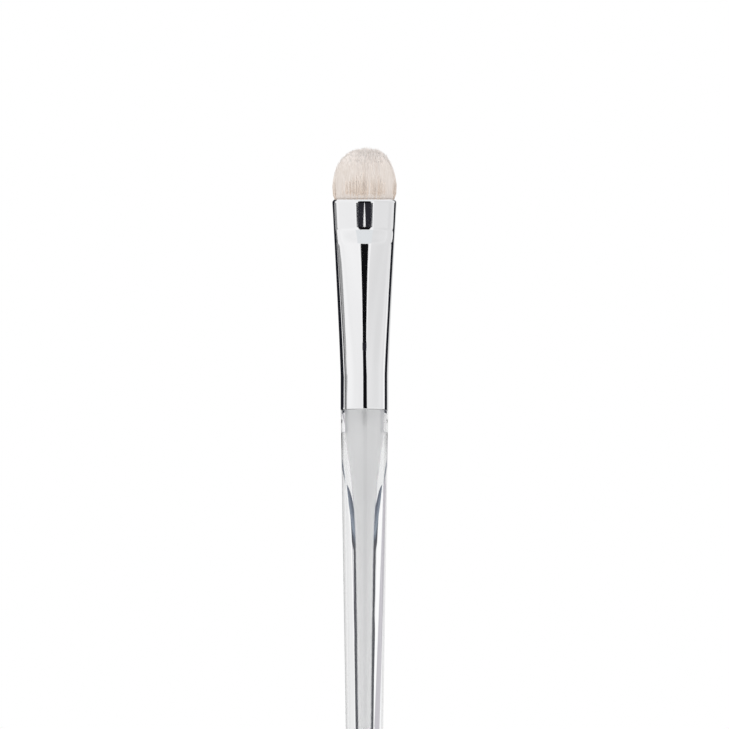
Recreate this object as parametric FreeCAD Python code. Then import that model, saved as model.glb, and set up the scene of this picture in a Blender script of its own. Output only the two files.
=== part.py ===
# Eyeshadow brush, in millimetres. The brush stands on its tail end: Z runs along its axis from the
# tail (the origin) to the hair tip, X across the wide face of the mouth and Y through its thickness.
import FreeCAD
import Part
import math
import os

V = FreeCAD.Vector
quarter_turn = math.pi / 2
whole_turn_degrees = 360.0

# Handle: a clear hollow moulding, a straight taper below the ferrule, easing into a parallel tail
handle_length = 127.0
handle_top_diameter = 6.84
taper_length = 58.0
taper_end_diameter = 4.96
tail_diameter = 4.0
tail_length = 9.0

# Bore of the handle: a socket, a funnel and a slim blind stem
socket_diameter = 5.9
socket_depth = 3.2
funnel_length = 17.0
funnel_turn_share = 0.05
neck_diameter = 2.6
stem_length = 50.0
stem_end_diameter = 1.6

# Ferrule: one drawn tube, round at the collar and gradually pressed flat up to its mouth
ferrule_length = 30.5
ferrule_wall = 0.3
collar_diameter = 6.9
collar_length = 5.0
mouth_width = 9.35
mouth_thickness = 3.9
widening_power = 1.15
flattening_power = 1.6
band_length = 4.4
shoulder_length = 2.2
press_depth = 0.4
lip_radius = 0.45
side_angle = 72.0
side_arcs = 10
face_arcs = 2
flare_shares = (0.0, 0.17, 0.33, 0.48, 0.62, 0.75, 0.88, 1.0)
lip_shares = (0.0, 0.5, 1.0)

# Handle core, which fills the bore and joins the handle to the ferrule, and its film of glue
core_clearance = 0.05
tenon_length = 8.0
tenon_nose_length = 3.4
tenon_nose_diameter = 5.0
glue_film = 0.08

# Hair tuft: the shown dome, and the bundle that the ferrule holds
hair_out = 7.4
hair_embedded = 13.0
root_width = 6.4
bulge_height = 2.4
bulge_width = 9.4
bulge_thickness = 4.3
mouth_clearance = 0.05
swell_shares = (0.0, 0.3, 0.65, 1.0)
crown_width_share = 0.2
dome_turn_shares = (0.0, 0.28, 0.5, 0.68, 0.84, 1.0)

# Binding thread round the bundle, and the glue plug that is cast behind it
thread_band = 2.0
thread_thickness = 0.35
thread_clearance = 0.05
soak_length = 2.5
backing_length = 3.0
glue_clearance = 0.03

# Heights along the axis
collar_foot = handle_length
collar_top = collar_foot + collar_length
mouth_height = collar_foot + ferrule_length
lip_foot = mouth_height - lip_radius
band_foot = mouth_height - band_length
shoulder_foot = band_foot - shoulder_length
root_height = mouth_height - hair_embedded
soak_height = root_height + soak_length
bulge_level = mouth_height + bulge_height

collar_radius = collar_diameter / 2
collar_bore = collar_radius - ferrule_wall


def share_between(value, low, high):
    """Where a height lies between two others, held between none and all of the way."""
    return min(max((value - low) / (high - low), 0.0), 1.0)


def mix(start, end, share):
    return start + (end - start) * share


def ferrule_half_sizes(height):
    """Half width and half thickness of the ferrule's outside at a height above its collar."""
    widening = share_between(height, collar_top, mouth_height) ** widening_power
    flattening = share_between(height, collar_top, shoulder_foot) ** flattening_power
    half_thickness = mix(collar_radius, mouth_thickness / 2 + press_depth, flattening)
    pressed_in = press_depth * share_between(height, shoulder_foot, band_foot)
    return mix(collar_radius, mouth_width / 2, widening), half_thickness - pressed_in


def oval_wire(half_width, half_thickness, level):
    """Flat-sided oval of tangent arcs, drawn as short arcs that turn alike at every size."""
    angle = math.radians(side_angle)
    radius_step = (half_width - half_thickness) / (math.sin(angle) + math.cos(angle) - 1)
    side_radius = half_width - radius_step * math.cos(angle)
    face_radius = half_thickness + radius_step * math.sin(angle)

    def side_point(share, facing):
        turn = angle * share
        x = half_width - side_radius * (1 - math.cos(turn))
        return V(facing * x, facing * side_radius * math.sin(turn), level)

    def face_point(share, facing):
        turn = (quarter_turn - angle) * share
        y = half_thickness - face_radius * (1 - math.cos(turn))
        return V(-facing * face_radius * math.sin(turn), facing * y, level)

    arcs = []
    for facing in (1, -1):
        for point, count in ((side_point, side_arcs), (face_point, face_arcs)):
            for n in range(count):
                shares = [2 * (n + part) / count - 1 for part in (0, 1 / 2, 1)]
                arcs.append(Part.Arc(*[point(share, facing) for share in shares]).toShape())
    return Part.Wire(arcs)


def ferrule_outline(height, inset=0.0, rise=0.0):
    """The ferrule's outline at a height, drawn in by an inset and lifted by a rise."""
    half_width, half_thickness = ferrule_half_sizes(height)
    return oval_wire(half_width - inset, half_thickness - inset, height + rise)


def ferrule_core(inset):
    """Solid that follows the ferrule's outside, drawn in by an inset, from its collar up to its lip."""
    flare = [mix(collar_top, shoulder_foot, share) for share in flare_shares]
    outlines = [ferrule_outline(z, inset) for z in flare + [band_foot, lip_foot]]
    shaft = Part.makeLoft(outlines, True, True)
    return shaft.fuse(Part.makeCylinder(collar_radius - inset, collar_length, V(0, 0, collar_foot)))


def raised_outline(inset, length):
    """Straight prism on the outline at the lip's foot, drawn in by an inset."""
    return Part.Face(ferrule_outline(lip_foot, inset)).extrude(V(0, 0, length))


def make_ferrule():
    """Tube of even wall whose mouth is rolled in to a rounded lip."""
    lip = []
    for share in lip_shares:
        turn = quarter_turn * share
        inset = lip_radius * (1 - math.cos(turn))
        lip.append(ferrule_outline(lip_foot, inset, lip_radius * math.sin(turn)))
    outside = ferrule_core(0.0).fuse(Part.makeLoft(lip, True, True))
    inside = ferrule_core(ferrule_wall).fuse(raised_outline(ferrule_wall, lip_radius - ferrule_wall))
    return outside.cut(inside).cut(raised_outline(lip_radius, lip_radius))


def revolve(edges):
    """Solid of revolution about Z from edges in the XZ plane that start and end on the axis."""
    closing = Part.LineSegment(edges[-1].lastVertex(True).Point, edges[0].firstVertex(True).Point)
    profile = Part.Wire(edges + [closing.toShape()])
    return Part.Face(profile).revolve(V(0, 0, 0), V(0, 0, 1), whole_turn_degrees)


def line(start, end):
    return Part.LineSegment(V(start[0], 0, start[1]), V(end[0], 0, end[1])).toShape()


def easing_arc(start, end, lean):
    """Arc between two points of a profile that leaves the start at a lean, in radius per height."""
    run = V(end[0] - start[0], 0, end[1] - start[1])
    chord_turn = math.atan(run.x / run.z) - math.atan(lean)
    bow = run.Length / 2 * math.tan(chord_turn / 2)
    across = V(-run.z, 0, run.x).normalize()
    middle = V(start[0], 0, start[1]) + run * (1 / 2) + across * bow
    return Part.Arc(V(start[0], 0, start[1]), middle, V(end[0], 0, end[1])).toShape()


def round_end(radius, top):
    """Quarter circle from the axis out to a radius: it closes the foot of a shaft with a half ball."""
    slant = radius * math.sqrt(2) / 2
    return Part.Arc(V(0, 0, top - radius), V(slant, 0, top - slant), V(radius, 0, top)).toShape()


def make_handle():
    top = (handle_top_diameter / 2, handle_length)
    taper_end = (taper_end_diameter / 2, handle_length - taper_length)
    tail_radius = tail_diameter / 2
    tail_top = (tail_radius, tail_length)
    outside = revolve([
        round_end(tail_radius, tail_radius),
        line((tail_radius, tail_radius), tail_top),
        easing_arc(tail_top, taper_end, 0.0),
        line(taper_end, top),
        line(top, (0, top[1])),
    ])
    bore_rim = (socket_diameter / 2, handle_length)
    return outside.cut(revolve(bore_profile(0.0) + [line(bore_rim, (0, handle_length))]))


def bore_profile(inset):
    """Half outline of the bore from its blind end up to the handle's top face, drawn in by an inset.

    Two arcs that meet at the funnel's turn, without a corner, lead from the socket to the stem.
    """
    rim = (socket_diameter / 2 - inset, handle_length)
    socket_foot = (rim[0], handle_length - socket_depth)
    neck = (neck_diameter / 2 - inset, socket_foot[1] - funnel_length)
    stem_foot = (stem_end_diameter / 2 - inset, neck[1] - stem_length + inset)
    neck_lean = 2 * (neck[0] - stem_foot[0]) / stem_length
    turn_depth = funnel_length * funnel_turn_share
    mean_lean = (socket_foot[0] - neck[0] + turn_depth * neck_lean / 2) / funnel_length
    turn = (neck[0] + mean_lean * (funnel_length - turn_depth), socket_foot[1] - turn_depth)
    return [
        line((0, stem_foot[1]), stem_foot),
        easing_arc(stem_foot, neck, 0.0),
        easing_arc(neck, turn, neck_lean),
        easing_arc(socket_foot, turn, 0.0),
        line(socket_foot, rim),
    ]


def make_handle_core():
    """Moulded core: a tapered body in the handle's bore, with a nosed tenon on it for the ferrule."""
    body_radius = socket_diameter / 2 - core_clearance
    tenon_radius = collar_bore - glue_film
    nose_radius = tenon_nose_diameter / 2
    tenon_top = handle_length + tenon_length
    nose_foot = tenon_top - tenon_nose_length
    return revolve(bore_profile(core_clearance) + [
        line((body_radius, handle_length), (tenon_radius, handle_length)),
        line((tenon_radius, handle_length), (tenon_radius, nose_foot)),
        line((tenon_radius, nose_foot), (nose_radius, tenon_top)),
        line((nose_radius, tenon_top), (0, tenon_top)),
    ])


def make_tenon_glue():
    """Film of glue that fills the gap between the core's straight tenon and the collar."""
    length = min(collar_length, tenon_length - tenon_nose_length)
    foot = V(0, 0, collar_foot)
    film = Part.makeCylinder(collar_bore, length, foot)
    return film.cut(Part.makeCylinder(collar_bore - glue_film, length, foot))


def mouth_opening():
    """Half width and half thickness of the hair where it leaves the rolled lip."""
    return [size - lip_radius - mouth_clearance for size in ferrule_half_sizes(lip_foot)]


def bundle_half_sizes(height):
    """The bundle is as thick as the mouth lets it be, and fans out from its bound root to the mouth."""
    half_width, half_thickness = mouth_opening()
    fanning = share_between(height, root_height, lip_foot)
    return mix(root_width / 2, half_width, fanning), half_thickness


def make_hair_tuft():
    """Bound root, bundle that fills the mouth, and the dome that swells over the lip."""
    root = [oval_wire(*bundle_half_sizes(z), z) for z in (root_height, lip_foot, mouth_height)]
    bulge = (bulge_width / 2, bulge_thickness / 2)
    swell = []
    for share in swell_shares:
        rise = math.sin(quarter_turn * share)
        sizes = [mix(small, large, rise) for small, large in zip(mouth_opening(), bulge)]
        swell.append(oval_wire(*sizes, mix(mouth_height, bulge_level, share)))
    swollen = Part.makeLoft(swell, True, True)
    return Part.makeLoft(root, True, True).multiFuse([swollen, hair_dome(*bulge)])


def hair_dome(half_width, half_thickness):
    """Trimmed dome on the widest level of the tuft: each level is a smaller oval, up to the crown."""
    full_turn = math.acos(crown_width_share)
    levels = []
    for share in dome_turn_shares:
        turn = full_turn * share
        size = math.cos(turn)
        height = (hair_out - bulge_height) * math.sin(turn) / math.sin(full_turn)
        levels.append(oval_wire(half_width * size, half_thickness * size, bulge_level + height))
    return Part.makeLoft(levels, True, True)


def make_binding_thread():
    """Wound band of thread, seen as one ring, round the bundle just above the glue."""
    low = soak_height + thread_clearance
    levels = (low, low + thread_band)
    rings = []
    for growth in (thread_thickness, 0.0):
        sizes = [[size + growth for size in bundle_half_sizes(z)] for z in levels]
        rings.append(Part.makeLoft([oval_wire(*s, z) for s, z in zip(sizes, levels)], True, True))
    return rings[0].cut(rings[1])


def make_root_glue(hair):
    """Cast glue that holds the hair roots and fills the ferrule behind them."""
    slab_corner = V(-mouth_width / 2, -mouth_width / 2, root_height - backing_length)
    slab = Part.makeBox(mouth_width, mouth_width, backing_length + soak_length, slab_corner)
    return ferrule_core(ferrule_wall + glue_clearance).common(slab).cut(hair)


hair_tuft = make_hair_tuft()
pieces = {
    "hair_tuft": hair_tuft,
    "binding_thread": make_binding_thread(),
    "root_glue": make_root_glue(hair_tuft),
    "ferrule": make_ferrule(),
    "tenon_glue": make_tenon_glue(),
    "handle_core": make_handle_core(),
    "handle": make_handle(),
}

os.makedirs("parts", exist_ok=True)
for name, shape in pieces.items():
    solid = shape.removeSplitter()
    print(name, len(solid.Solids), "solid", solid.isValid(), round(solid.Volume, 2), "mm3")
    solid.exportStep(f"parts/{name}.step")
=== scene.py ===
"""Looks of the eyeshadow brush: fine hair, chrome ferrule and a clear handle round a pale core."""
import math
import random

import bmesh
import bpy
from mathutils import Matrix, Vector, noise


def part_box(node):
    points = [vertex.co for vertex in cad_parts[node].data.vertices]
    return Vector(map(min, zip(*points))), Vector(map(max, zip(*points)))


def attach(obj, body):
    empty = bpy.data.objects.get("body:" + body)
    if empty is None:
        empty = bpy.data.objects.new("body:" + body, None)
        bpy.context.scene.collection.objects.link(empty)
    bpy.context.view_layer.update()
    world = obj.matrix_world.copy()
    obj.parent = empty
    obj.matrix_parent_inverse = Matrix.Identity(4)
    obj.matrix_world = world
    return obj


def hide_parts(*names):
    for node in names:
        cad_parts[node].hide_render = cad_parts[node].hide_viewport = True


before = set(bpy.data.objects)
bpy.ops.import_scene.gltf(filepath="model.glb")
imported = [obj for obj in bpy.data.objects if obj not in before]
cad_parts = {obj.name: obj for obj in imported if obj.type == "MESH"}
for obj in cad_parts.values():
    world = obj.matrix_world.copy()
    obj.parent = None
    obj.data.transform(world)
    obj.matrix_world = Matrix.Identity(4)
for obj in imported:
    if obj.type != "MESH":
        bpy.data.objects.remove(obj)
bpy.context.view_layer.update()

# Shapes are worked out in millimetres and turned into metres when a mesh is made.
MM = 0.001

# Levels on the axis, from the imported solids.
HANDLE_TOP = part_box("handle")[1].z / MM
MOUTH_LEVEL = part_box("ferrule")[1].z / MM
HAIR_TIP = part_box("hair_tuft")[1].z / MM

# Clear handle.
HANDLE_TOP_RADIUS = 3.42
TAPER_LENGTH = 58.0
TAPER_END_RADIUS = 2.48
TAIL_RADIUS = 2.0
TAIL_LENGTH = 9.0
TOP_EDGE_RADIUS = 0.07
TOP_GAP = 0.02
RIM_BEVEL = 0.06

# Bore and the core in it.
SOCKET_RADIUS = 2.95
SOCKET_DEPTH = 3.2
FUNNEL_LENGTH = 17.0
FUNNEL_TURN_SHARE = 0.006
NECK_RADIUS = 1.3
STEM_LENGTH = 50.0
STEM_END_RADIUS = 0.8
CORE_CLEARANCE = 0.05
CORE_TURN = 2.4
TENON_RADIUS = 3.07
TENON_LENGTH = 8.0
TENON_NOSE_LENGTH = 3.4
TENON_NOSE_RADIUS = 2.5
CORE_FOOT_RADIUS = 0.5
TENON_EDGE = 0.05
BORE_RIPPLE = 0.008
RIPPLE_START = 0.2

# Ferrule.
COLLAR_RADIUS = 3.45
COLLAR_LENGTH = 5.0
FERRULE_WALL = 0.3
MOUTH_HALF_WIDTH = 4.675
MOUTH_HALF_THICKNESS = 1.95
WIDENING_POWER = 1.15
FLATTENING_POWER = 1.6
BAND_LENGTH = 4.4
SHOULDER_LENGTH = 2.2
PRESS_DEPTH = 0.4
SHOULDER_SOFTNESS = 0.35
LIP_RADIUS = 0.45
LIP_TUCK = 0.03
COLLAR_RIM = 0.07
RIM_TURN_SHARE = 0.3
ROUND_SIDE_ANGLE = 60.0
FLAT_SIDE_ANGLE = 78.0

# Hair.
BULGE_HEIGHT = 2.4
BULGE_HALF_WIDTH = 4.7
BULGE_HALF_THICKNESS = 2.15
STRAND_COUNT = 5000
STRAND_ROOT_RADIUS = 0.04
STRAND_TIP_RADIUS = 0.02
STRAND_LEVELS = 7
STRAND_ROOT_DEPTH = 0.7
STRAND_RISE_POWER = 0.85
STRAND_SIDES = 3
STRAND_SWAY_WIDE = 0.06
STRAND_SWAY_DEEP = 0.05
INNER_SHARE = 0.3
INNER_AREA_SHARE = 0.4
OUTERMOST_SHARE = 0.99
TIP_SHARES = (0.35, 0.85)
TIP_DROP = 0.05
TIP_SPREAD = 0.14
BEND_START = 0.6
FLARE_POWER = 0.25
LIP_CLEARANCE = 0.1
CROWN_SHIFT = 0.35
CROWN_SHIFT_POWER = 4
BODY_SHARE = 0.943
BODY_CROWN_SHARE = 0.985
BODY_DEPTH = 1.2
BODY_SIDE_ANGLE = 72.0
HAIR_SEED = 11

COLLAR_TOP = HANDLE_TOP + COLLAR_LENGTH
SHOULDER_FOOT = MOUTH_LEVEL - BAND_LENGTH - SHOULDER_LENGTH
BAND_FOOT = MOUTH_LEVEL - BAND_LENGTH
LIP_FOOT = MOUTH_LEVEL - LIP_RADIUS
BULGE_LEVEL = MOUTH_LEVEL + BULGE_HEIGHT
DOME_HEIGHT = HAIR_TIP - BULGE_LEVEL
SOCKET_FOOT = HANDLE_TOP - SOCKET_DEPTH
NECK_LEVEL = SOCKET_FOOT - FUNNEL_LENGTH
STEM_FOOT = NECK_LEVEL - STEM_LENGTH


def share_between(value, start, end):
    """How far a value is on its way from start to end, from 0 to 1."""
    return min(1.0, max(0.0, (value - start) / (end - start)))


def mix(start, end, share):
    return start + (end - start) * share


def smooth(share):
    return share * share * (3 - 2 * share)


def levels(start, end, step):
    """Evenly spaced levels from start to end, about a step apart."""
    count = max(1, round(abs(end - start) / step))
    return [mix(start, end, i / count) for i in range(count + 1)]


# Meshes

def add_mesh(name, points, faces, sharp_angle=35.0):
    """A smooth-shaded mesh object from points in millimetres."""
    mesh = bpy.data.meshes.new(name)
    mesh.from_pydata([(x * MM, y * MM, z * MM) for x, y, z in points], [], faces)
    shape = bmesh.new()
    shape.from_mesh(mesh)
    bmesh.ops.recalc_face_normals(shape, faces=shape.faces)
    shape.to_mesh(mesh)
    shape.free()
    mesh.shade_smooth()
    mesh.set_sharp_from_angle(angle=math.radians(sharp_angle))
    obj = bpy.data.objects.new(name, mesh)
    bpy.context.scene.collection.objects.link(obj)
    return obj


def add_piece(obj, material, slot, *nodes):
    """Hands a piece over to the brush: its material and the solid that it stands for, which it
    hides; the slot is not used.
    """
    obj.data.materials.append(material)
    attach(obj, "root")
    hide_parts(*nodes)
    return obj


def bridge(first, second, count):
    """Faces between two rings whose points start at first and second."""
    faces = []
    for k in range(count):
        n = (k + 1) % count
        faces.append((first + k, first + n, second + n, second + k))
    return faces


def lathe(name, profile, steps=160):
    """A closed turned body of (radius, height, ripple) points, whose both ends are on the axis."""
    points = [(0.0, 0.0, profile[0][1])]
    faces = []
    for radius, height, ripple in profile[1:-1]:
        for k in range(steps):
            turn = 2 * math.pi * k / steps
            x, y = math.cos(turn), math.sin(turn)
            waver = ripple * noise.noise(Vector((1.6 * x, 1.6 * y, 0.23 * height)))
            points.append(((radius + waver) * x, (radius + waver) * y, height))
    points.append((0.0, 0.0, profile[-1][1]))
    rings = len(profile) - 2
    last = len(points) - 1
    for i in range(rings - 1):
        faces += bridge(1 + i * steps, 1 + (i + 1) * steps, steps)
    for k in range(steps):
        n = (k + 1) % steps
        faces.append((0, 1 + n, 1 + k))
        faces.append((last, last - steps + k, last - steps + n))
    return add_mesh(name, points, faces)


def oval(half_width, half_thickness, side_angle, height, side_count=26, face_count=14):
    """An oval of four tangent arcs, as a ring of points."""
    angle = math.radians(side_angle)
    step = (half_width - half_thickness) / (math.sin(angle) + math.cos(angle) - 1)
    side_radius = half_width - step * math.cos(angle)
    face_radius = half_thickness + step * math.sin(angle)
    side_centre = half_width - side_radius
    face_centre = half_thickness - face_radius
    quarter = []
    for i in range(side_count):
        turn = angle * i / side_count
        quarter.append((side_centre + side_radius * math.cos(turn), side_radius * math.sin(turn)))
    for i in range(face_count):
        turn = mix(angle, math.pi / 2, i / face_count)
        quarter.append((face_radius * math.cos(turn), face_centre + face_radius * math.sin(turn)))
    back = [(0.0, half_thickness)] + quarter[:0:-1]
    ring = quarter + [(-x, y) for x, y in back]
    ring += [(-x, -y) for x, y in quarter] + [(x, -y) for x, y in back]
    return [(x, y, height) for x, y in ring]


# Clear handle and its core

def bore_radius(height):
    """Radius of the bore: a straight socket, a funnel that turns in quickly, and a slim stem."""
    depth = HANDLE_TOP - height
    neck_lean = 2 * (NECK_RADIUS - STEM_END_RADIUS) / STEM_LENGTH
    turn_depth = FUNNEL_LENGTH * FUNNEL_TURN_SHARE
    slope_length = FUNNEL_LENGTH - turn_depth
    mean_lean = (SOCKET_RADIUS - NECK_RADIUS + turn_depth * neck_lean / 2) / FUNNEL_LENGTH
    turn_lean = 2 * mean_lean - neck_lean
    turn_radius = NECK_RADIUS + mean_lean * slope_length
    if depth <= SOCKET_DEPTH:
        return SOCKET_RADIUS
    if depth <= SOCKET_DEPTH + turn_depth:
        return SOCKET_RADIUS - turn_lean * (depth - SOCKET_DEPTH) ** 2 / (2 * turn_depth)
    if depth <= SOCKET_DEPTH + FUNNEL_LENGTH:
        down = depth - SOCKET_DEPTH - turn_depth
        easing = (turn_lean - neck_lean) * down ** 2 / (2 * slope_length)
        return turn_radius - turn_lean * down + easing
    neck_depth = SOCKET_DEPTH + FUNNEL_LENGTH
    left = 1 - share_between(depth, neck_depth, neck_depth + STEM_LENGTH)
    return mix(STEM_END_RADIUS, NECK_RADIUS, left ** 2)


def bore_levels():
    """Levels of the bore's rings, closest together at the turn from socket to funnel."""
    turn_foot = SOCKET_FOOT - FUNNEL_LENGTH * FUNNEL_TURN_SHARE
    stem_step, funnel_step, turn_step, socket_step = 0.8, 0.35, 0.03, 0.3
    near = 2 * turn_step
    stem = levels(STEM_FOOT, NECK_LEVEL, stem_step)[:-1]
    funnel = levels(NECK_LEVEL, turn_foot - near, funnel_step)
    turn = levels(turn_foot, SOCKET_FOOT, turn_step)
    return stem + funnel + turn + levels(SOCKET_FOOT + near, HANDLE_TOP, socket_step)


def outside_profile():
    """The handle's outline from the tail tip to its rounded top edge."""
    tail_steps, edge_steps, ring_step = 12, 8, 2.0
    points = [(0.0, 0.0)]
    for i in range(1, tail_steps + 1):
        turn = math.pi / 2 * i / tail_steps
        points.append((TAIL_RADIUS * math.sin(turn), TAIL_RADIUS * (1 - math.cos(turn))))
    taper_foot = HANDLE_TOP - TAPER_LENGTH
    for height in levels(TAIL_LENGTH, taper_foot, ring_step):
        share = share_between(height, TAIL_LENGTH, taper_foot)
        points.append((mix(TAIL_RADIUS, TAPER_END_RADIUS, share ** 2), height))
    edge_foot = HANDLE_TOP - TOP_GAP - TOP_EDGE_RADIUS
    for height in levels(taper_foot, edge_foot, ring_step)[1:]:
        share = share_between(height, taper_foot, HANDLE_TOP)
        points.append((mix(TAPER_END_RADIUS, HANDLE_TOP_RADIUS, share), height))
    edge_centre = points[-1][0] - TOP_EDGE_RADIUS
    for i in range(1, edge_steps + 1):
        turn = math.pi / 2 * i / edge_steps
        radius = edge_centre + TOP_EDGE_RADIUS * math.cos(turn)
        points.append((radius, edge_foot + TOP_EDGE_RADIUS * math.sin(turn)))
    return points


def make_handle(material):
    """The clear handle: its outside, the bevelled rim of its socket and its bore."""
    outside = [(radius, height, 0.0) for radius, height in outside_profile()]
    top = HANDLE_TOP - TOP_GAP
    rim = [(SOCKET_RADIUS + RIM_BEVEL, top, 0.0), (SOCKET_RADIUS, top - RIM_BEVEL, 0.0)]
    funnel_top = SOCKET_FOOT - RIPPLE_START
    bore = [
        (bore_radius(height), height, BORE_RIPPLE if height < funnel_top else 0.0)
        for height in reversed(bore_levels()[:-1])
    ]
    end = [(0.0, STEM_FOOT, 0.0)]
    handle = lathe("handle_clear", outside + rim + bore + end, steps=192)
    return add_piece(handle, material, "handle", "handle")


def core_radius(height):
    """The core follows the bore, and rounds the turn from its socket part to the funnel."""
    jump = 2 * (SOCKET_RADIUS - NECK_RADIUS) / FUNNEL_LENGTH
    away = abs(height - SOCKET_FOOT)
    rounding = jump * max(0.0, CORE_TURN - away) ** 2 / (4 * CORE_TURN)
    return bore_radius(height) - CORE_CLEARANCE - rounding


def make_core(material):
    """The core in its bore, with the tenon for the ferrule on top."""
    foot_level = STEM_FOOT + CORE_CLEARANCE
    foot = [(0.0, foot_level, 0.0), (CORE_FOOT_RADIUS, foot_level, 0.0)]
    stem = [(core_radius(height), height, 0.0) for height in bore_levels()[1:]]
    tenon_top = HANDLE_TOP + TENON_LENGTH
    tenon = [
        (TENON_RADIUS - TENON_EDGE, HANDLE_TOP, 0.0),
        (TENON_RADIUS, HANDLE_TOP + TENON_EDGE, 0.0),
        (TENON_RADIUS, tenon_top - TENON_NOSE_LENGTH, 0.0),
        (TENON_NOSE_RADIUS, tenon_top, 0.0),
    ]
    core = lathe("handle_core_satin", foot + stem + tenon + [(0.0, tenon_top, 0.0)])
    return add_piece(core, material, "core", "handle_core")


# Ferrule

def ferrule_section(height):
    """Half width, half thickness and side angle of the ferrule's outside at a height."""
    widening = share_between(height, COLLAR_TOP, MOUTH_LEVEL) ** WIDENING_POWER
    flattening = share_between(height, COLLAR_TOP, SHOULDER_FOOT) ** FLATTENING_POWER
    half_thickness = mix(COLLAR_RADIUS, MOUTH_HALF_THICKNESS + PRESS_DEPTH, flattening)
    pressing = share_between(height, SHOULDER_FOOT, BAND_FOOT)
    half_thickness -= PRESS_DEPTH * mix(pressing, smooth(pressing), SHOULDER_SOFTNESS)
    squaring = share_between(height, COLLAR_TOP, BAND_FOOT)
    side_angle = mix(ROUND_SIDE_ANGLE, FLAT_SIDE_ANGLE, squaring)
    return mix(COLLAR_RADIUS, MOUTH_HALF_WIDTH, widening), half_thickness, side_angle


def ferrule_ring(height, inset, level=None):
    """A ring of the ferrule: the section of one height, drawn in, and put at a level."""
    half_width, half_thickness, side_angle = ferrule_section(height)
    if level is None:
        level = height
    return oval(half_width - inset, half_thickness - inset, side_angle, level)


def outer_rings():
    """The ferrule's outside, from the rim of the collar up to the foot of the lip."""
    turned = RIM_TURN_SHARE * COLLAR_RIM
    ring_step = 0.2
    rings = [ferrule_ring(HANDLE_TOP, COLLAR_RIM)]
    rings.append(ferrule_ring(HANDLE_TOP, turned, HANDLE_TOP + turned))
    for height in levels(HANDLE_TOP + COLLAR_RIM, LIP_FOOT, ring_step):
        rings.append(ferrule_ring(height, 0.0))
    return rings


def lip_rings():
    """The rolled lip: a quarter turn in and its return into the mouth."""
    steps, return_rise, return_drop = 10, 0.3, 0.1
    rings = []
    for i in range(1, steps + 1):
        turn = math.pi / 2 * i / steps
        inset = LIP_RADIUS * (1 - math.cos(turn))
        rings.append(ferrule_ring(LIP_FOOT, inset, LIP_FOOT + LIP_RADIUS * math.sin(turn)))
    rings.append(ferrule_ring(LIP_FOOT, LIP_RADIUS + LIP_TUCK, LIP_FOOT + return_rise))
    rings.append(ferrule_ring(LIP_FOOT, LIP_RADIUS, LIP_FOOT - return_drop))
    return rings


def inner_rings():
    """The ferrule's inside, from below the lip down to the collar."""
    lip_depth, ring_step = 0.6, 1.0
    heights = levels(LIP_FOOT - lip_depth, HANDLE_TOP, ring_step)
    return [ferrule_ring(height, FERRULE_WALL) for height in heights]


def make_ferrule(material):
    """The chrome tube, round at the handle and flat at its mouth, as one closed skin."""
    rings = outer_rings() + lip_rings() + inner_rings()
    count = len(rings[0])
    faces = []
    for i in range(len(rings)):
        faces += bridge(i * count, (i + 1) % len(rings) * count, count)
    ferrule = add_mesh("ferrule_chrome", [point for ring in rings for point in ring], faces)
    return add_piece(ferrule, material, "ferrule", "ferrule")


# Hair

def mouth_opening():
    """Half width and half thickness of the room inside the lip."""
    half_width, half_thickness, _ = ferrule_section(LIP_FOOT)
    inset = LIP_RADIUS + LIP_CLEARANCE
    return half_width - inset, half_thickness - inset


def tuft_half_sizes(height):
    """Half width and half thickness of the bundle, which flares over the lip up to its bulge."""
    half_width, half_thickness = mouth_opening()
    rise = share_between(height, MOUTH_LEVEL - LIP_CLEARANCE, BULGE_LEVEL)
    flare = math.sin(math.pi / 2 * rise) ** FLARE_POWER
    wide = mix(half_width, BULGE_HALF_WIDTH, flare)
    return wide, mix(half_thickness, BULGE_HALF_THICKNESS, flare)


def crown_shift(height):
    """The trimmed crown sits a little to one side."""
    return CROWN_SHIFT * share_between(height, BULGE_LEVEL, HAIR_TIP) ** CROWN_SHIFT_POWER


def strand_reaches(random_source):
    """How far out one hair is at its root and at its tip; the outer hairs lean in."""
    inner = random_source.random() < INNER_SHARE
    if inner:
        area = random_source.uniform(0.0, INNER_AREA_SHARE)
    else:
        area = random_source.uniform(INNER_AREA_SHARE, 1.0)
    reach = math.sqrt(area) * OUTERMOST_SHARE
    return reach, reach * (1.0 if inner else random_source.uniform(*TIP_SHARES))


def strand_path(random_source):
    """Centre points of one hair, from inside the mouth to its tip on the dome."""
    turn = random_source.uniform(0.0, 2 * math.pi)
    reach, tip_reach = strand_reaches(random_source)
    tip_height = BULGE_LEVEL + DOME_HEIGHT * math.sqrt(1 - tip_reach ** 2)
    tip_height -= random_source.gauss(TIP_DROP, TIP_SPREAD)
    root_height = MOUTH_LEVEL - STRAND_ROOT_DEPTH
    sway_wide = random_source.gauss(0.0, STRAND_SWAY_WIDE)
    sway_deep = random_source.gauss(0.0, STRAND_SWAY_DEEP)
    across, along = math.cos(turn), math.sin(turn)
    path = []
    for i in range(STRAND_LEVELS):
        share = i / (STRAND_LEVELS - 1)
        height = mix(root_height, tip_height, share ** STRAND_RISE_POWER)
        half_width, half_thickness = tuft_half_sizes(height)
        bend = share_between(height, BULGE_LEVEL - BEND_START, tip_height) ** 2
        here = mix(reach, tip_reach, bend)
        x = here * across * half_width + sway_wide * bend + crown_shift(height)
        path.append((x, here * along * half_thickness + sway_deep * bend, height))
    return path


def strand_points(path, spin):
    """The rings of one hair round its path, thinner to the tip."""
    points = []
    for i, (x, y, z) in enumerate(path):
        share = i / (STRAND_LEVELS - 1)
        radius = mix(STRAND_ROOT_RADIUS, STRAND_TIP_RADIUS, share ** 2)
        for k in range(STRAND_SIDES):
            turn = spin + 2 * math.pi * k / STRAND_SIDES
            points.append((x + radius * math.cos(turn), y + radius * math.sin(turn), z))
    return points


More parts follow.
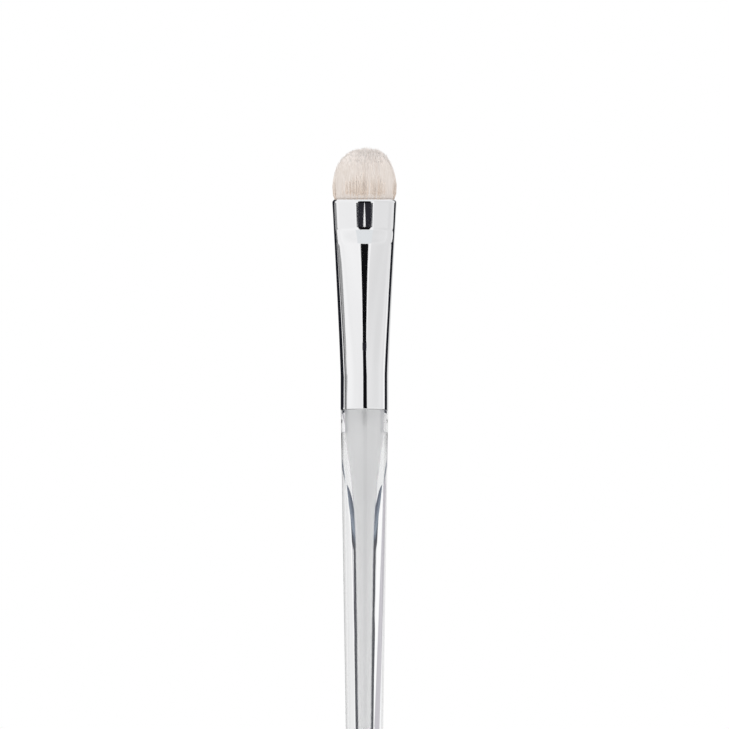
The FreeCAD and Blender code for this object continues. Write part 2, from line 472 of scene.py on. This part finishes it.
def strand_faces(first):
    """The sides and both ends of the hair whose points start at first."""
    faces = []
    for i in range(STRAND_LEVELS - 1):
        ring = first + STRAND_SIDES * i
        faces += bridge(ring, ring + STRAND_SIDES, STRAND_SIDES)
    last = first + STRAND_SIDES * (STRAND_LEVELS - 1)
    faces.append(tuple(reversed(range(first, first + STRAND_SIDES))))
    faces.append(tuple(range(last, last + STRAND_SIDES)))
    return faces


def make_strands(material):
    """All loose hairs as one mesh, each with its own tint and its run from root to tip."""
    random_source = random.Random(HAIR_SEED)
    mean_tint, tint_spread = 0.5, 0.22
    points, faces, tints, runs = [], [], [], []
    for _ in range(STRAND_COUNT):
        path = strand_path(random_source)
        tint = min(1.0, max(0.0, random_source.gauss(mean_tint, tint_spread)))
        spin = random_source.uniform(0.0, 2 * math.pi)
        faces += strand_faces(len(points))
        points += strand_points(path, spin)
        for i in range(STRAND_LEVELS):
            tints += [tint] * STRAND_SIDES
            runs += [i / (STRAND_LEVELS - 1)] * STRAND_SIDES
    strands = add_mesh("hair_strands", points, faces, sharp_angle=180.0)
    for name, values in (("tint", tints), ("run", runs)):
        layer = strands.data.attributes.new(name, "FLOAT", "POINT")
        layer.data.foreach_set("value", values)
    return add_piece(strands, material, "hair", "hair_tuft")


def hair_body_rings():
    """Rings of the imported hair, from inside the mouth over the bulge to the crown."""
    ring_step, dome_steps = 0.2, 25
    rings = []
    for height in levels(MOUTH_LEVEL - BODY_DEPTH, BULGE_LEVEL, ring_step):
        half_width, half_thickness = tuft_half_sizes(height)
        wide, thick = half_width * BODY_SHARE, half_thickness * BODY_SHARE
        rings.append(oval(wide, thick, BODY_SIDE_ANGLE, height))
    for i in range(1, dome_steps):
        turn = math.pi / 2 * i / dome_steps
        height = BULGE_LEVEL + BODY_CROWN_SHARE * DOME_HEIGHT * math.sin(turn)
        scale = BODY_SHARE * math.cos(turn)
        wide, thick = BULGE_HALF_WIDTH * scale, BULGE_HALF_THICKNESS * scale
        rings.append(oval(wide, thick, BODY_SIDE_ANGLE, height))
    return rings


def make_hair_body(material):
    """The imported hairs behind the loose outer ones: a domed body a little inside the tuft."""
    rings = hair_body_rings()
    count = len(rings[0])
    points = [point for ring in rings for point in ring]
    faces = []
    for i in range(len(rings) - 1):
        faces += bridge(i * count, (i + 1) * count, count)
    faces.append(tuple(range(count)))
    faces.append(tuple(range(len(points) - count, len(points))))
    body = add_mesh("hair_body", points, faces, sharp_angle=60.0)
    return add_piece(body, material, "hair", "hair_tuft")


# Materials

def new_material(name):
    """A material with its node tree and its shader."""
    material = bpy.data.materials.new(name)
    material.use_nodes = True
    tree = material.node_tree
    return material, tree, tree.nodes["Principled BSDF"]


def add_node(tree, kind, **settings):
    """A new node with its inputs and properties set by name."""
    node = tree.nodes.new(kind)
    for key, value in settings.items():
        if key in node.inputs:
            node.inputs[key].default_value = value
        else:
            setattr(node, key, value)
    return node


def place_noise(tree, scale, stretch=(1.0, 1.0, 1.0), detail=3.0):
    """Noise in the brush's own place, stretched along its axes."""
    place = add_node(tree, "ShaderNodeTexCoord")
    mapping = add_node(tree, "ShaderNodeMapping", Scale=stretch)
    texture = add_node(tree, "ShaderNodeTexNoise", Scale=scale, Detail=detail)
    tree.links.new(place.outputs["Object"], mapping.inputs["Vector"])
    tree.links.new(mapping.outputs["Vector"], texture.inputs["Vector"])
    return texture


def ramp(tree, source, stops):
    """Colours by the value of a source, from stops of (position, colour)."""
    node = add_node(tree, "ShaderNodeValToRGB")
    elements = node.color_ramp.elements
    while len(elements) < len(stops):
        elements.new(0.5)
    for element, (position, colour) in zip(elements, stops):
        element.position = position
        element.color = (*colour, 1.0)
    tree.links.new(source, node.inputs["Fac"])
    return node


def height_share(tree, low, high):
    """How far up a point is between two heights in metres, from 0 to 1."""
    place = add_node(tree, "ShaderNodeTexCoord")
    parts = add_node(tree, "ShaderNodeSeparateXYZ")
    rise = add_node(tree, "ShaderNodeMapRange")
    rise.inputs["From Min"].default_value = low
    rise.inputs["From Max"].default_value = high
    tree.links.new(place.outputs["Object"], parts.inputs[0])
    tree.links.new(parts.outputs["Z"], rise.inputs["Value"])
    return rise.outputs["Result"]


def grey(value):
    return value, value, value


def bump(tree, shader, source, strength, distance):
    """Fine relief on a shader, from the value of a source."""
    node = add_node(tree, "ShaderNodeBump", Strength=strength, Distance=distance)
    tree.links.new(source, node.inputs["Height"])
    tree.links.new(node.outputs["Normal"], shader.inputs["Normal"])


def hair_material():
    """Off-white hair: every hair has its own tint, and the roots are warmer and darker."""
    material, tree, shader = new_material("hair_fine")
    tint = add_node(tree, "ShaderNodeAttribute", attribute_name="tint")
    run = add_node(tree, "ShaderNodeAttribute", attribute_name="run")
    tints = ramp(tree, tint.outputs["Fac"], [
        (0.0, (0.9, 0.83, 0.78)),
        (0.5, (0.955, 0.9, 0.86)),
        (1.0, (0.985, 0.945, 0.92)),
    ])
    roots = ramp(tree, run.outputs["Fac"], [
        (0.0, (0.84, 0.74, 0.65)),
        (0.35, (0.93, 0.885, 0.84)),
        (0.8, grey(1.0)),
    ])
    shade = add_node(tree, "ShaderNodeMix", data_type="RGBA", blend_type="MULTIPLY")
    shade.inputs["Factor"].default_value = 1.0
    tree.links.new(tints.outputs["Color"], shade.inputs["A"])
    tree.links.new(roots.outputs["Color"], shade.inputs["B"])
    tree.links.new(shade.outputs["Result"], shader.inputs["Base Color"])
    shader.inputs["Roughness"].default_value = 0.8
    shader.inputs["Specular IOR Level"].default_value = 0.1
    return material


def hair_body_material():
    """Packed hair seen between the loose ones: fine upright streaks, coloured darker than the loose
    hairs as painted shade between them, and paler towards the crown as painted light.
    """
    material, tree, shader = new_material("hair_packed")
    # Painted light: the packed hair is coloured paler towards the crown, between these two levels.
    crown_light_start = (BULGE_LEVEL + 0.45 * DOME_HEIGHT) * MM
    crown_light_full = (BULGE_LEVEL + 0.85 * DOME_HEIGHT) * MM
    streaks = place_noise(tree, 9000.0, (1.0, 1.0, 0.03))
    # Painted shade: the streaks are coloured darker than the loose hairs, standing in for the shade
    # between them.
    colours = ramp(tree, streaks.outputs["Fac"], [
        (0.3, (0.64, 0.57, 0.515)),
        (0.7, (0.77, 0.705, 0.66)),
    ])
    blend = add_node(tree, "ShaderNodeMix", data_type="RGBA")
    blend.inputs["B"].default_value = (0.82, 0.758, 0.72, 1.0)
    tree.links.new(height_share(tree, crown_light_start, crown_light_full), blend.inputs["Factor"])
    tree.links.new(colours.outputs["Color"], blend.inputs["A"])
    tree.links.new(blend.outputs["Result"], shader.inputs["Base Color"])
    bump(tree, shader, streaks.outputs["Fac"], 0.6, 0.00005)
    shader.inputs["Roughness"].default_value = 0.7
    return material


def chrome_material():
    """Bright plating: a mirror with faint wiping marks along the ferrule."""
    material, tree, shader = new_material("chrome_plate")
    marks = place_noise(tree, 4000.0, (1.0, 1.0, 0.02))
    roughness = ramp(tree, marks.outputs["Fac"], [(0.35, grey(0.025)), (0.75, grey(0.06))])
    tree.links.new(roughness.outputs["Color"], shader.inputs["Roughness"])
    bump(tree, shader, marks.outputs["Fac"], 0.02, 0.00001)
    shader.inputs["Base Color"].default_value = (0.89, 0.89, 0.9, 1.0)
    shader.inputs["Metallic"].default_value = 1.0
    return material


def acrylic_material():
    """Clear polished acrylic with the faintest smudges."""
    material, tree, shader = new_material("acrylic_clear")
    smudges = place_noise(tree, 250.0, detail=5.0)
    roughness = ramp(tree, smudges.outputs["Fac"], [(0.5, grey(0.0)), (0.8, grey(0.03))])
    tree.links.new(roughness.outputs["Color"], shader.inputs["Roughness"])
    shader.inputs["Base Color"].default_value = (0.972, 0.975, 0.98, 1.0)
    shader.inputs["IOR"].default_value = 1.49
    shader.inputs["Transmission Weight"].default_value = 1.0
    return material


def core_material():
    """Pearly core with a slight mottle: satin at the socket, matter and paler down the stem."""
    material, tree, shader = new_material("core_satin")
    change_length = 8.0
    mottle = place_noise(tree, 900.0, (1.0, 1.0, 0.35), 4.0)
    colours = ramp(tree, mottle.outputs["Fac"], [
        (0.3, (0.98, 0.978, 0.975)),
        (0.7, (0.99, 0.988, 0.985)),
    ])
    rise = height_share(tree, (SOCKET_FOOT - change_length) * MM, SOCKET_FOOT * MM)
    satin = ramp(tree, rise, [(0.0, grey(0.85)), (1.0, grey(0.7))])
    roughness = ramp(tree, rise, [(0.0, grey(0.5)), (1.0, grey(0.36))])
    tree.links.new(colours.outputs["Color"], shader.inputs["Base Color"])
    tree.links.new(satin.outputs["Color"], shader.inputs["Metallic"])
    tree.links.new(roughness.outputs["Color"], shader.inputs["Roughness"])
    bump(tree, shader, mottle.outputs["Fac"], 0.05, 0.00003)
    return material


def thread_material():
    """Waxed thread: its turns as bands round the bundle."""
    material, tree, shader = new_material("thread_waxed")
    place = add_node(tree, "ShaderNodeTexCoord")
    turns = add_node(tree, "ShaderNodeTexWave", Scale=1400.0, Distortion=1.5, Detail=2.0)
    turns.bands_direction = "Z"
    tree.links.new(place.outputs["Object"], turns.inputs["Vector"])
    colours = ramp(tree, turns.outputs["Fac"], [(0.0, (0.6, 0.57, 0.5)), (1.0, (0.84, 0.82, 0.76))])
    tree.links.new(colours.outputs["Color"], shader.inputs["Base Color"])
    bump(tree, shader, turns.outputs["Fac"], 0.8, 0.0001)
    shader.inputs["Roughness"].default_value = 0.6
    return material


def glue_material():
    """Cast amber epoxy, slightly cloudy."""
    material, tree, shader = new_material("glue_epoxy")
    clouds = place_noise(tree, 700.0, detail=4.0)
    colours = ramp(tree, clouds.outputs["Fac"], [
        (0.3, (0.74, 0.66, 0.48)),
        (0.7, (0.84, 0.79, 0.64)),
    ])
    tree.links.new(colours.outputs["Color"], shader.inputs["Base Color"])
    bump(tree, shader, clouds.outputs["Fac"], 0.1, 0.0001)
    shader.inputs["Roughness"].default_value = 0.25
    return material


# Studio, in metres, and in degrees round the brush from the camera's side

FLAG_DISTANCE = 0.4
REAR_FOOT = -0.34
REAR_TOP = 0.6
DUSK = (0.012, 0.013, 0.018)


def glow(name):
    """A material that only shines, with its node tree and its light."""
    material, tree, shader = new_material(name)
    tree.nodes.remove(shader)
    light = add_node(tree, "ShaderNodeEmission", Strength=1.0)
    output = tree.nodes["Material Output"]
    tree.links.new(light.outputs["Emission"], output.inputs["Surface"])
    return material, tree, light


def emitter(name, colour):
    """A card of one even colour."""
    material, _, light = glow(name)
    light.inputs["Color"].default_value = (*colour, 1.0)
    return material


def cloud_emitter(name, low, high):
    """A pale card with soft, wide clouds on it."""
    material, tree, light = glow(name)
    clouds = place_noise(tree, 2.5, (1.0, 1.0, 3.0), 1.0)
    colours = ramp(tree, clouds.outputs["Fac"], [(0.35, grey(low)), (0.65, grey(high))])
    tree.links.new(colours.outputs["Color"], light.inputs["Color"])
    return material


def slate_emitter(name, bottom, top):
    """Slate-blue dusk, lightest near its top, with blotches."""
    material, tree, light = glow(name)
    blotches = place_noise(tree, 3.0, detail=4.0)
    shift = add_node(tree, "ShaderNodeMath", operation="MULTIPLY_ADD")
    shift.inputs[1].default_value = 0.25
    colours = ramp(tree, shift.outputs[0], [
        (0.15, (0.07, 0.085, 0.125)),
        (0.72, (0.24, 0.28, 0.34)),
        (0.95, (0.05, 0.055, 0.07)),
        (1.0, (0.045, 0.048, 0.06)),
    ])
    tree.links.new(blotches.outputs["Fac"], shift.inputs[0])
    tree.links.new(height_share(tree, bottom, top), shift.inputs[2])
    tree.links.new(colours.outputs["Color"], light.inputs["Color"])
    return material


def wall(name, start, end, bottom, top, material,
         distance=FLAG_DISTANCE, clear=False, top_end=None, lean=0.0):
    """An upright studio card round the brush, from one azimuth to another.

    The chrome mirrors it, or, where clear is set, only the clear handle bends it into view.
    Its upper edge can lean round the brush or end at an azimuth of its own.
    """
    if top_end is None:
        top_end = end + lean
    widest_step = 4.0
    count = max(1, round(abs(end - start) / widest_step))
    points, faces = [], []
    for i in range(count + 1):
        for height, first, last in ((bottom, start, end), (top, start + lean, top_end)):
            turn = math.radians(mix(first, last, i / count))
            x, y = math.sin(turn) * distance, -math.cos(turn) * distance
            points.append((x / MM, y / MM, height / MM))
    for i in range(0, len(points) - 2, 2):
        faces.append((i, i + 1, i + 3, i + 2))
    card = add_mesh(name, points, faces)
    card.data.materials.append(material)
    card.visible_camera = False
    card.visible_diffuse = False
    card.visible_shadow = False
    card.visible_glossy = not clear
    card.visible_transmission = clear
    return card


def make_front_flags():
    """The black stripe along the ferrule, its split mark in the band and the pale card above."""
    black = emitter("flag_black", (0.005, 0.005, 0.006))
    charcoal = emitter("flag_charcoal", (0.026, 0.026, 0.033))
    pale = emitter("card_top", (0.81, 0.835, 0.85))
    foot, knee, slot_foot, slot_top, flag_top = -0.55, 0.1375, 0.1862, 0.193, 0.278
    left, right, waist, waist_lean = -6.0, 13.0, 7.2, -1.2
    wall("front_flag_foot", left, right, foot, knee, black)
    wall("front_flag_low", left, right, knee, slot_foot, black, top_end=waist, lean=waist_lean)
    for side, word in ((-1, "left"), (1, "right")):
        wall("front_flag_" + word, side * 8.8, side * 1.5, slot_foot, slot_top, charcoal,
             top_end=side * 0.1)
        wall("front_flag_high_" + word, 0.0, side * waist, slot_top, flag_top, black,
             top_end=side * 5.6)
    wall("slot_screen", -4.0, 4.0, 0.36, 0.46, black, distance=2.0)
    wall("front_card_top", -10.5, 10.5, 0.283, 0.5, pale)


def make_side_cards():
    """The pale panels on both sides of the stripe."""
    bottom, top, distance = -0.4, 0.7, 0.42
    right = cloud_emitter("card_right", 0.79, 0.9)
    left = cloud_emitter("card_left", 0.9, 0.99)
    wall("side_card_right", 10.0, 100.0, bottom, top, right, distance)
    wall("side_card_left", -94.0, -10.0, bottom, top, left, distance)


def make_right_edge():
    """The black line and its pale rim at the ferrule's right edge, broader in the band."""
    dusk = emitter("flag_dusk_right", DUSK)
    line_start, line_end = 114.0, 141.0
    wall("rear_flag_right", line_start, line_end, REAR_FOOT, REAR_TOP, dusk)
    wall("rear_rim_right", line_end, 178.0, REAR_FOOT, REAR_TOP, emitter("rim_pale", grey(0.76)))
    wall("rear_wedge_right", line_start, line_start - 1.0, 0.157, 0.18, dusk, 0.39, top_end=98.0)


def make_left_edge():
    """The black line at the ferrule's left edge and the dark and grey streaks beside it."""
    dusk = emitter("flag_dusk_left", DUSK)
    strip_dark = emitter("strip_dark", grey(0.06))
    strip_grey = emitter("strip_grey", grey(0.3))
    wedge_grey = emitter("wedge_grey", grey(0.45))
    wedge_dark = emitter("wedge_dark", grey(0.16))
    back, line_low, line_high, rise_foot, rise_top = -175.0, -124.0, -113.0, 0.128, 0.178
    wedge_foot, wedge_top = 0.15, 0.18
    wall("rear_flag_left", back, line_low, REAR_FOOT, rise_foot, dusk)
    wall("rear_flag_left_rise", back, line_low, rise_foot, rise_top, dusk, top_end=line_high)
    wall("rear_flag_left_top", back, line_high, rise_top, REAR_TOP, dusk)
    wall("rear_strip_dark", -112.0, -103.0, REAR_FOOT, REAR_TOP, strip_dark)
    wall("rear_strip_grey", -101.5, -95.0, REAR_FOOT, REAR_TOP, strip_grey)
    wall("left_wedge_grey", -95.0, -94.0, wedge_foot, wedge_top, wedge_grey, 0.39, top_end=-76.0)
    wall("left_wedge_dark", -91.0, -90.5, wedge_foot, wedge_top, wedge_dark, 0.38, top_end=-86.0)


def make_near_cards():
    """A dark strip and a grey veil close to the ferrule's foot, mirrored by the core's top."""
    streak = emitter("streak_dark", grey(0.1))
    veil = emitter("veil_grey", grey(0.6))
    wall("socket_streak", -14.0, 14.0, 0.127, 0.18, streak, distance=0.04, clear=True)
    wall("socket_veil", -110.0, 110.0, 0.129, 0.2, veil, distance=0.06, clear=True)


def far_card(name, start, end, bottom, top, material, distance=10.0, lean=0.0):
    """A card across the studio that only the clear handle bends into view."""
    wall(name, start, end, bottom, top, material, distance, clear=True, lean=lean)


def make_far_cards():
    """Slate skirtings at the horizon and pale cards above them."""
    bottom, skirting, horizon, top = -2.0, -0.2, 0.195, 1.4
    slate = slate_emitter("far_slate", -1.0, horizon)
    pale = emitter("far_pale", grey(0.84))
    lavender = emitter("far_lavender", (0.54, 0.52, 0.56))
    far_card("far_flag_right_low", 100.0, 172.0, bottom, skirting, slate)
    far_card("far_flag_left_low", -172.0, -100.0, bottom, skirting, slate)
    far_card("far_flag_right", 100.0, 158.0, skirting, horizon, slate)
    far_card("far_flag_left", -158.0, -100.0, skirting, horizon, slate)
    far_card("far_card_right", 95.0, 158.0, horizon, top, pale)
    far_card("far_card_left", -125.0, -95.0, horizon, top, pale)
    far_card("far_card_lavender", -158.0, -140.0, horizon, 0.75, lavender, 9.8, lean=26.0)


def make_socket_cards():
    """Grey cards behind the brush that shade the sides of the core's top."""
    bottom, top, distance = 0.5, 0.75, 9.5
    side = emitter("socket_side", grey(0.5))
    edge = emitter("socket_edge", grey(0.25))
    far_card("socket_card_right", 153.0, 165.0, bottom, top, side, distance)
    far_card("socket_card_left", -165.0, -153.0, bottom, top, side, distance)
    far_card("socket_card_back", 165.0, 195.0, bottom, top, edge, distance)


def make_floor():
    """A plain pale table top that narrows to the back, with a bevelled rim; in millimetres."""
    front, back, front_half, back_half = -1100.0, 1950.0, 1500.0, 77.0
    thickness, bevel = 20.0, 4.0
    points = []
    for inset, height in ((bevel, 0.0), (0.0, -bevel), (0.0, -thickness)):
        wide, narrow = front_half - inset, back_half - inset
        near, far = front + inset, back - inset
        points += [(-wide, near, height), (wide, near, height)]
        points += [(narrow, far, height), (-narrow, far, height)]
    faces = [(3, 2, 1, 0), (8, 9, 10, 11)] + bridge(0, 4, 4) + bridge(4, 8, 4)
    floor = add_mesh("floor", points, faces)
    floor.data.materials.append(floor_material())


def floor_material():
    """Pale, matt and faintly cloudy."""
    material, tree, shader = new_material("floor_pale")
    grain = place_noise(tree, 60.0)
    colours = ramp(tree, grain.outputs["Fac"], [(0.3, grey(0.8)), (0.7, grey(0.82))])
    tree.links.new(colours.outputs["Color"], shader.inputs["Base Color"])
    shader.inputs["Roughness"].default_value = 0.8
    return material


def make_world():
    """White for the camera, mirrors and clear things, and a plain soft light on everything else."""
    world = bpy.data.worlds.new("studio")
    bpy.context.scene.world = world
    world.use_nodes = True
    tree = world.node_tree
    soft = tree.nodes["Background"]
    soft.inputs["Color"].default_value = (1.0, 1.0, 1.0, 1.0)
    soft.inputs["Strength"].default_value = 1.0
    white = add_node(tree, "ShaderNodeBackground", Color=(1.0, 1.0, 1.0, 1.0), Strength=1.0)
    path = add_node(tree, "ShaderNodeLightPath")
    shiny = add_node(tree, "ShaderNodeMath", operation="MAXIMUM")
    seen = add_node(tree, "ShaderNodeMath", operation="MAXIMUM")
    choice = add_node(tree, "ShaderNodeMixShader")
    tree.links.new(path.outputs["Is Glossy Ray"], shiny.inputs[0])
    tree.links.new(path.outputs["Is Transmission Ray"], shiny.inputs[1])
    tree.links.new(path.outputs["Is Camera Ray"], seen.inputs[0])
    tree.links.new(shiny.outputs[0], seen.inputs[1])
    tree.links.new(seen.outputs[0], choice.inputs[0])
    tree.links.new(soft.outputs[0], choice.inputs[1])
    tree.links.new(white.outputs[0], choice.inputs[2])
    tree.links.new(choice.outputs[0], tree.nodes["World Output"].inputs["Surface"])


def make_lamp(name, place, size, power):
    """A round soft lamp aimed at the ferrule, which neither mirrors nor clear pieces show."""
    aim = Vector((0.0, 0.0, 0.15))
    lamp = bpy.data.lights.new(name, "AREA")
    lamp.shape = "DISK"
    lamp.size = size
    lamp.energy = power
    obj = bpy.data.objects.new(name, lamp)
    obj.location = place
    obj.rotation_euler = (aim - Vector(place)).to_track_quat("-Z", "Y").to_euler()
    obj.visible_glossy = False
    obj.visible_transmission = False
    bpy.context.scene.collection.objects.link(obj)


def make_camera():
    """The photograph's view: the upper half of the brush, seen from a little below."""
    distance, aim_height, tilt = 0.8, 0.1336, math.radians(3.4)
    frame_height = 0.10527
    camera = bpy.data.cameras.new("camera")
    camera.sensor_width = 36.0
    camera.lens = camera.sensor_width * distance / frame_height
    obj = bpy.data.objects.new("camera", camera)
    obj.location = (0.0, -distance * math.cos(tilt), aim_height - distance * math.sin(tilt))
    obj.rotation_euler = (math.pi / 2 + tilt, 0.0, 0.0)
    bpy.context.scene.collection.objects.link(obj)
    bpy.context.scene.camera = obj


def dress_hidden_pieces():
    """The pieces inside the ferrule keep their solids and get their own materials."""
    glue = glue_material()
    materials = {"binding_thread": thread_material(), "root_glue": glue, "tenon_glue": glue}
    for node, material in materials.items():
        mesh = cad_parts[node].data
        mesh.materials.clear()
        mesh.materials.append(material)


make_camera()
make_world()
make_floor()
make_front_flags()
make_side_cards()
make_right_edge()
make_left_edge()
make_near_cards()
make_far_cards()
make_socket_cards()
make_lamp("key", (-0.6, -0.75, 0.75), 1.0, 1.8)
make_lamp("fill", (0.8, -0.5, 0.5), 1.2, 0.8)
make_handle(acrylic_material())
make_core(core_material())
make_ferrule(chrome_material())
make_hair_body(hair_body_material())
make_strands(hair_material())
dress_hidden_pieces()
bpy.context.scene.view_settings.view_transform = "Standard"
